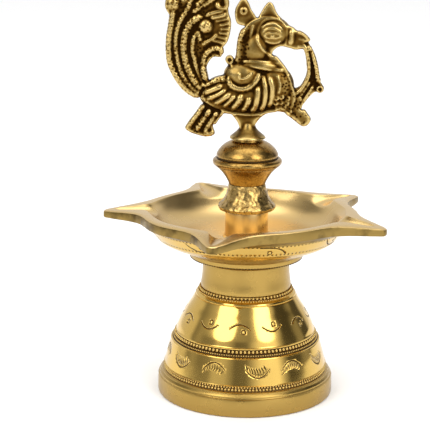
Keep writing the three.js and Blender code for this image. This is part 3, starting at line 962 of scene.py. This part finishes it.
def wax_strips(name, strips, lift=0.0):
    curve = bpy.data.curves.new(name, "CURVE")
    curve.dimensions = "3D"
    curve.bevel_depth = MM
    curve.bevel_resolution = 2
    curve.use_fill_caps = True
    for width, beading, places in strips:
        path = [Vector((x, 0, z)) for x, z in rounded(places, 8)]
        run = [0.0]
        for a, b in zip(path, path[1:]):
            run.append(run[-1] + (b - a).length)
        spline = curve.splines.new("POLY")
        spline.points.add(len(path) - 1)
        for i, point in enumerate(path):
            from_end = min(run[i], run[-1] - run[i])
            blunt = math.sqrt(min(1, 0.12 + from_end / (0.7 * width)))
            swell = 1 + beading * math.cos(TAU * run[i] / BEAD_PITCH)
            radius = 0.53 * width * blunt * swell
            depth = skin(point.x, point.z) - 0.22 * width + lift
            spline.points[i].co = (point.x * MM, -depth * MM, point.z * MM, 1)
            spline.points[i].radius = radius
    piece = bpy.data.objects.new(name, curve)
    bpy.context.scene.collection.objects.link(piece)
    pick(piece)
    bpy.ops.object.convert(target="MESH")
    return bpy.context.object


def wax_dots(name, dots):
    """Ringed dots: small rings of wax, each (x, z, radius)."""
    rings = []
    for x, z, radius in dots:
        put_everything_down()
        bpy.ops.mesh.primitive_torus_add(location=(x * MM, -(skin(x, z) + 0.05) * MM, z * MM),
                                         rotation=(math.pi / 2, 0, 0), major_segments=16, minor_segments=8,
                                         major_radius=radius * MM, minor_radius=0.3 * MM)
        rings.append(settle(bpy.context.object))
    first = join(*rings)
    first.name = name
    return first


# %% The tail plume
tail_strips = [
    (2.1, 0.07, [(-14.2, 96.5), (-18, 98.8), (-21, 102.4), (-23.2, 107), (-23.7, 111.1), (-23.6, 115),
                 (-23.1, 118.2), (-22.6, 121.4), (-22.3, 124)]),
    (1.7, 0.09, [(-13.6, 97.4), (-16.4, 99.3), (-18.8, 102.1), (-20.5, 106), (-21.4, 110.5), (-21.6, 114.7),
                 (-21, 118.2), (-19.6, 121.3), (-17.9, 124), (-16.8, 127), (-15.8, 131), (-13.6, 134.6),
                 (-10.6, 137.2)]),
    (2.6, 0.06, [(-13, 98.4), (-15.2, 100.9), (-17, 103.9), (-18.3, 107), (-19, 110.5), (-19.1, 113.6),
                 (-18.5, 116.6), (-17.2, 119.2), (-15.2, 121), (-12.9, 121.6)]),
    (1.5, 0.09, [(-12.8, 99.9), (-13.9, 102.7), (-15.1, 106), (-16, 109.4), (-16.4, 112.2), (-16, 114.6),
                 (-15, 116.8)]),
    (1.6, 0.09, [(-14.2, 113.4), (-14.2, 115), (-14.9, 117.6)]),
    (2.0, 0.07, [(-11.9, 101.6), (-12.8, 104.4), (-13, 107.1), (-12.3, 109.7), (-10.7, 111.2),
                 (-8.9, 111.8), (-7.5, 111.2), (-7.2, 109.9)]),
    (1.4, 0.0, [(-12.6, 121.9), (-10.6, 122.6), (-8.4, 123.2), (-6.3, 123.5)]),
    (1.5, 0.0, [(-11, 121.3), (-9, 121.6), (-7.2, 122), (-5.8, 122.9)]),
    (1.5, 0.09, [(-16.6, 122.6), (-14.3, 124.3), (-11.8, 125.9), (-9.6, 127.6), (-8.2, 130.4),
                 (-7.4, 133.6)]),
    (1.6, 0.09, [(-15.6, 124.6), (-13.6, 126.3), (-11.6, 128.2), (-10.2, 130.8), (-9.6, 133.4)]),
    (1.5, 0.09, [(-14.6, 127.4), (-12.9, 129.8), (-12, 132.4), (-10.6, 134.4)]),
    (1.7, 0.0, [(-8.9, 126.4), (-8.3, 124.8), (-6.8, 124.3), (-5.9, 125), (-6, 127), (-6.6, 129.2),
                (-6.4, 132), (-5.6, 134.6), (-6.4, 137), (-8.6, 138.2)]),
    (1.2, 0.0, [(-13.6, 112.8), (-11.8, 113.9), (-9.7, 115.1), (-8.6, 116.6)]),
]
fan = [((-9.4, 120.2), (-7.1, 120.7), (-5, 121.2)), ((-8.2, 119), (-6.3, 119.3), (-4.7, 119.9)),
       ((-8, 117.8), (-6, 117.9), (-4.5, 118.2)), ((-8.4, 116.7), (-6.5, 116.5), (-4.9, 116.5)),
       ((-9.2, 115.6), (-7.1, 115.1), (-5.3, 114.8)), ((-10.6, 114.4), (-8.2, 113.9), (-6.2, 113.2))]
tail_strips += [(0.95, 0.0, list(ridge)) for ridge in fan]
lower_tail_strips = [
    (1.7, 0.05, [(-12.6, 94), (-14.6, 91), (-16.7, 88.2), (-17.8, 86.9)]),
    (2.0, 0.1, [(-10.6, 92.7), (-12.5, 89.9), (-14.3, 87.1), (-14.8, 85.5)]),
    (1.6, 0.05, [(-8.4, 92), (-10.4, 88.8), (-11.9, 86.2), (-11.7, 85), (-10.3, 84.9), (-9.7, 86)]),
    (0.9, 0.0, [(-6.4, 92.2), (-8.3, 89.6), (-9.4, 87.8)]),
]

# %% The wing, the shield and the breast
wing_strips = [
    (1.5, 0.0, [(-12.6, 99.9), (-10.4, 101), (-7.7, 101.8), (-5.4, 102.1)]),
    (2.2, 0.0, [(-13, 97.6), (-9.9, 98.9), (-6.5, 100.4)]),
    (1.7, 0.0, [(-11.8, 95.9), (-8.5, 97.3), (-5.5, 99.2)]),
    (2.0, 0.0, [(-9.3, 94.5), (-6.8, 96.1), (-4.1, 98.1)]),
    (1.6, 0.05, [(-6.5, 93.6), (-4.7, 95.4), (-2.8, 97.6)]),
    (2.2, 0.05, [(-3.9, 92.7), (-2, 95.3), (-0.7, 97.9)]),
    (1.8, 0.05, [(-0.7, 92.2), (0.8, 94.4), (1.7, 97.2)]),
    (2.2, 0.0, [(2, 91.9), (3.4, 94), (4.1, 97.6), (4.3, 100.4)]),
    (1.9, 0.0, [(4.9, 92.3), (6.2, 95.1), (6.6, 99), (6, 102.4), (5, 104.2)]),
    (1.9, 0.0, [(7.4, 93.6), (8.6, 96.5), (8.7, 100.2), (7.6, 103.5)]),
    (0.8, 0.0, [(10.2, 103.8), (11.1, 100.9), (10.6, 97.9)]),
]
shield_strips = [
    (2.0, 0.05, [(-5, 103.4), (-4.4, 101), (-2.6, 99.7), (-0.3, 99.4), (2, 100.4), (3.7, 102.4),
                 (4.8, 104.6)]),
    (0.6, 0.0, [(-1.7, 104.6), (-1.3, 102.8), (0.4, 103), (2.4, 104.6)]),
]
neck_strips = [
    (0.9, 0.0, [(-0.6, 107.9), (1.4, 108), (5, 107.9), (8.7, 107.6), (10.8, 107.4)]),
    (1.5, 0.0, [(-0.6, 107), (3.6, 106.4), (7.8, 105.6), (12.4, 105.1)]),
    (1.6, 0.09, [(-0.2, 118), (-1.3, 115.5), (-1.8, 112.7), (-2, 109.9), (-2.6, 107.4)]),
    (0.9, 0.0, [(3.8, 116), (3.9, 114.4), (5.3, 112), (8.3, 109.4)]),
    (0.9, 0.0, [(2.6, 119.6), (2.1, 117.5), (1.6, 115)]),
    (1.5, 0.0, [(-3.8, 106), (-4.6, 107.7)]),
]

# %% The head and the crest
head_strips = [
    (0.8, 0.0, [(3.9, 114.4), (4.2, 118), (6, 120.6), (8.8, 121.3), (11.4, 120.3), (13, 117.8)]),
    (0.8, 0.0, [(5.0, 118.3), (7, 119.5), (9.4, 119.5), (11.8, 117.9)]),
    (0.7, 0.0, [(5.5, 117.2), (7, 118.2), (9.3, 118.3), (11.5, 116.9)]),
    (0.6, 0.0, [(5.9, 116.1), (7.3, 116.9), (9.5, 116.9), (11.1, 116.1), (9.5, 115.4), (7.3, 115.4),
                (5.9, 116.1)]),
    (0.8, 0.0, [(7.7, 116.1), (9.3, 116.1)]),
    (0.7, 0.0, [(6.2, 114.7), (7.6, 113.9), (9.6, 113.8), (11.2, 114.5)]),
    (1.7, 0.0, [(14.1, 118.2), (14.1, 115.6), (13.8, 112.9)]),
    (0.7, 0.0, [(12.7, 118.6), (12.8, 115.5), (12.4, 113)]),
    (0.9, 0.0, [(15.8, 117.2), (17.6, 116.3), (19.2, 115)]),
    (0.7, 0.0, [(15.8, 115.2), (17.4, 114.9), (18.9, 114.5)]),
    (0.9, 0.0, [(15.6, 113), (17.2, 112.6), (18.3, 113.1)]),
]
crest_strips = [
    (0.45, 0.0, [(-1.6, 119.6), (-2.7, 121.4), (-2.8, 123.6), (-2, 125.7), (-0.8, 127), (0.6, 126),
                 (1.8, 123.6), (3.2, 121.6)]),
    (0.45, 0.0, [(4.4, 121.6), (5.9, 124.4), (7.3, 126), (8.5, 125.2), (9.6, 122.9), (10.8, 121.2)]),
]

# %% The sprig, the leaf and the legs
sprig_strips = [
    (1.3, 0.04, [(17.6, 113.4), (18.8, 110.4), (19.3, 107.4), (19.5, 104.9), (19.1, 102.9), (17.9, 100.4),
                 (16.6, 98.6), (15, 97.4)]),
    (1.5, 0.12, [(19, 113), (20.6, 109.8), (21.7, 106), (22.2, 103), (22.9, 101.2)]),
    (0.9, 0.0, [(20.9, 100.2), (19, 97.3), (17.4, 94.6), (17, 92.9)]),
    (0.9, 0.0, [(19.8, 101.6), (17.2, 97.4), (15.4, 94.4), (14.8, 92.8)]),
    (0.9, 0.0, [(13.9, 92.6), (15.6, 91.6), (18, 92.2), (19, 91.2), (19.9, 89.7)]),
    (0.9, 0.0, [(12.6, 92.4), (14.6, 90.4), (17.2, 88.2), (18.8, 88.2), (19.9, 89.7)]),
]
leg_strips = [
    (1.3, 0.0, [(-3.6, 91.8), (-2.2, 89.4), (-1.3, 87)]), (1.3, 0.0, [(5.8, 91.6), (3.6, 89.6), (1.4, 87)]),
    (1.5, 0.0, [(-0.6, 89.4), (0, 88.4)]),
]
belly_strip = [(0.9, 0.0, [(-7.4, 92.6), (-4, 91.6), (0.7, 91.1), (4.5, 91.3), (8, 92.2), (10.6, 92.6)])]
strips = (tail_strips + lower_tail_strips + wing_strips + neck_strips + head_strips + crest_strips
          + sprig_strips + leg_strips + belly_strip)
ring_dots = [(-0.5, 123.5, 0.8), (-4.75, 108.3, 1.0), (23, 99.4, 0.9),
             (16.6, 96.2, 0.55), (16.2, 94.5, 0.55)]
BREAST_DOTS = [(10, 96.6), (11.6, 96.9), (13.2, 96.4), (9.8, 95), (11.4, 95.2), (13, 94.9), (10.6, 93.5),
               (12.2, 93.5)]
for x, z in BREAST_DOTS:
    ring_dots.append((x, z, 0.55))
front = join(wax_strips("wax_strips", strips), wax_strips("shield_wax", shield_strips, lift=0.1),
             wax_dots("ring_dots", ring_dots))
pick(front)
bpy.ops.object.duplicate()
back = bpy.context.object
back.scale = (1, -1, 1)
settle(back)

# %% [markdown]
# ## Melting the wax into one casting
#
# The pedestal is turned and added. The voxel remesh then turns plates, lumps and strips into a single skin,
# and a light smoothing softens it, as molten brass does. Last, the socket for the rod is bored from below.

# %% Melt, smooth and bore
VOXEL_MM = 0.26
LEAN_MM = 1.2
LEAN_LESS_AT_BEAK_MM = 0.65


def leaned_back(x, y, z):
    """The bird sits a little back over its pedestal; the legs stay, and the beak and the sprig move less."""
    free = max(eased(z, 84, 92), eased(-x, 4, 8))
    return x - (LEAN_MM - LEAN_LESS_AT_BEAK_MM * eased(x, 11, 17)) * free, y, z


pedestal_outline = rounded([(5.75, 83.35), (5.6, 83.9), (4.7, 84.7), (3.6, 85.6), (2.7, 86.7),
                            (2.15, 88.2)], 3)
pedestal = turn("pedestal", [(0, 83.3)] + pedestal_outline + [(0, 89.2)], 64)
for wax in plates + [front, back]:
    reshape(wax, leaned_back)
bird = join(pedestal, *plates, front, back)
bird.name = "bird_cast"
use_modifier(bird, "REMESH", mode="VOXEL", voxel_size=VOXEL_MM * MM, adaptivity=0.0)
use_modifier(bird, "SMOOTH", factor=0.5, iterations=1)
put_everything_down()
bpy.ops.mesh.primitive_cylinder_add(vertices=24, radius=2.0 * MM, depth=8 * MM, location=(0, 0, 83.2 * MM))
bore = bpy.context.object
engrave(bird, bore)
report(bird)

# %% [markdown]
# ## Where the dark finish stays
#
# The dipped bird was rubbed bright by hand. The rag reaches the high places only. So for each point the
# script compares its place with the smoothed skin around it: a point that lies below its surroundings is in
# a hollow and keeps the dark finish. The result is stored on the points as `rubbed`, from 0 in a hollow to
# 1 on a ridge.

# %% Measure hollows and ridges
def rubbed_bright(piece, passes, depth_mm):
    mesh = piece.data
    count = len(mesh.vertices)
    places = np.empty(count * 3)
    mesh.vertices.foreach_get("co", places)
    places = places.reshape(-1, 3) / MM
    normals = np.empty(count * 3)
    mesh.vertices.foreach_get("normal", normals)
    normals = normals.reshape(-1, 3)
    edges = np.empty(len(mesh.edges) * 2, dtype=int)
    mesh.edges.foreach_get("vertices", edges)
    a, b = edges.reshape(-1, 2).T
    neighbours = np.bincount(np.concatenate([a, b]), minlength=count)
    neighbours = np.maximum(neighbours, 1)

    def softened(values, times):
        for _ in range(times):
            total = np.empty_like(values)
            for axis in range(values.shape[1]):
                total[:, axis] = (np.bincount(a, values[b, axis], count)
                                  + np.bincount(b, values[a, axis], count))
            values = 0.35 * values + 0.65 * total / neighbours[:, None]
        return values

    height = ((places - softened(places, passes)) * normals).sum(axis=1)
    height = softened(height[:, None], 2)[:, 0]
    rubbed = np.clip(0.5 + height / (2 * depth_mm), 0, 1)
    attribute = mesh.attributes.new("rubbed", "FLOAT", "POINT")
    attribute.data.foreach_set("value", rubbed.astype(np.float32))
    print(f"{piece.name}: {np.mean(rubbed < 0.3):.0%} in hollows, {np.mean(rubbed > 0.7):.0%} on ridges")


rubbed_bright(bird, 22, 0.15)


# %% How finely each part is stippled
def stippled(x, z):
    """The founder pricked the tail, the breast, the mane and the sprig all over, and left the rest smooth."""
    tail = eased(-x, 11, 13.5) if z < 128 else 1
    hook = eased(-x, 7, 9) * eased(z, 99, 101) * (1 - eased(z, 111.5, 112.5))
    breast = eased(x, 9.6, 11) * (1 - eased(z, 103.5, 105))
    sprig = eased(x, 15.4, 16.6) * (1 - eased(z, 111, 113))
    mane = eased(-x, -0.6, 0.2) * eased(z, 106, 108) if x > -4 and z < 119 else 0
    return max(tail, hook, breast, sprig, mane)


pricks = bird.data.attributes.new("pricked", "FLOAT", "POINT")
pricks.data.foreach_set("value", [stippled(v.co.x / MM, v.co.z / MM) for v in bird.data.vertices])


# %% Rubbed antique brass
def antique_brass():
    material, tree, shader = new_brass("rubbed_antique_brass", "#DDB765", 0.3)
    rubbed = add_node(tree, "ShaderNodeAttribute", attribute_name="rubbed")
    pricked = add_node(tree, "ShaderNodeAttribute", attribute_name="pricked")
    place = add_node(tree, "ShaderNodeTexCoord")
    cells = add_node(tree, "ShaderNodeTexVoronoi", [(place.outputs["Object"], "Vector")],
                     Scale=1 / (0.95 * MM))
    blotches = add_node(tree, "ShaderNodeTexNoise", [(place.outputs["Object"], "Vector")], Detail=3.0,
                        Scale=1 / (1.8 * MM))
    # Pricks lower the shine around the middle of each cell, only where the casting is pricked.
    prick = add_node(tree, "ShaderNodeMapRange", [(cells.outputs["Distance"], "Value")], From_Min=0.12,
                     From_Max=0.5, To_Min=-0.5, To_Max=-0.02)
    local = add_node(tree, "ShaderNodeMath", [(prick.outputs[0], 0), (pricked.outputs["Fac"], 1)],
                     operation="MULTIPLY")
    uneven = add_node(tree, "ShaderNodeMapRange", [(blotches.outputs["Fac"], "Value")], To_Min=-0.16,
                      To_Max=0.16)
    total = add_node(tree, "ShaderNodeMath", [(rubbed.outputs["Fac"], 0), (local.outputs[0], 1)],
                     operation="ADD")
    shine = add_node(tree, "ShaderNodeMath", [(total.outputs[0], 0), (uneven.outputs[0], 1)],
                     operation="ADD")
    tones = add_node(tree, "ShaderNodeValToRGB", [(shine.outputs[0], 0)])
    ramp = tones.color_ramp
    ramp.elements[0].position = 0.2
    ramp.elements[0].color = linear("#241403")
    ramp.elements[1].position = 0.85
    ramp.elements[1].color = linear("#BDA266")
    middle = ramp.elements.new(0.42)
    middle.color = linear("#5E4116")
    upper = ramp.elements.new(0.6)
    upper.color = linear("#846A35")
    tree.links.new(tones.outputs[0], shader.inputs["Base Color"])
    dull = add_node(tree, "ShaderNodeMapRange", [(shine.outputs[0], "Value")], From_Min=0.25, From_Max=0.7,
                    To_Min=0.55, To_Max=0.26)
    tree.links.new(dull.outputs[0], shader.inputs["Roughness"])
    bump = add_node(tree, "ShaderNodeBump", [(local.outputs[0], "Height")], Strength=0.8, Distance=0.3 * MM)
    tree.links.new(bump.outputs[0], shader.inputs["Normal"])
    return material


coat(bird, antique_brass())
pick(bird)
bpy.ops.object.shade_smooth()
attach(bird, "bird")
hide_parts("bird_finial")

# %% [markdown]
# ## The hidden stud and rod
#
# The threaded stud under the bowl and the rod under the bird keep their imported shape, because their threads
# must fit their holes. They only get a plain turned brass in their slot.

# %% Finish the kept pieces
PLAIN = new_brass("plain_turned_brass", TURNED_BRASS, 0.3)[0]
for name in ("bowl_stud", "clamp_rod"):
    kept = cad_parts[name]
    for kept_slot in kept.material_slots:
        kept_slot.material = PLAIN

# %% [markdown]
# ## Sizes and finish
#
# The box round the finished lamp is printed, axis by axis, in millimetres.

# %% Print the sizes of the finished lamp
visual_box = [list(map(float, corner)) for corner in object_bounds()]
for axis, low, high in zip("xyz", *visual_box):
    print(f"{axis}: {low / MM:.2f} to {high / MM:.2f} mm")
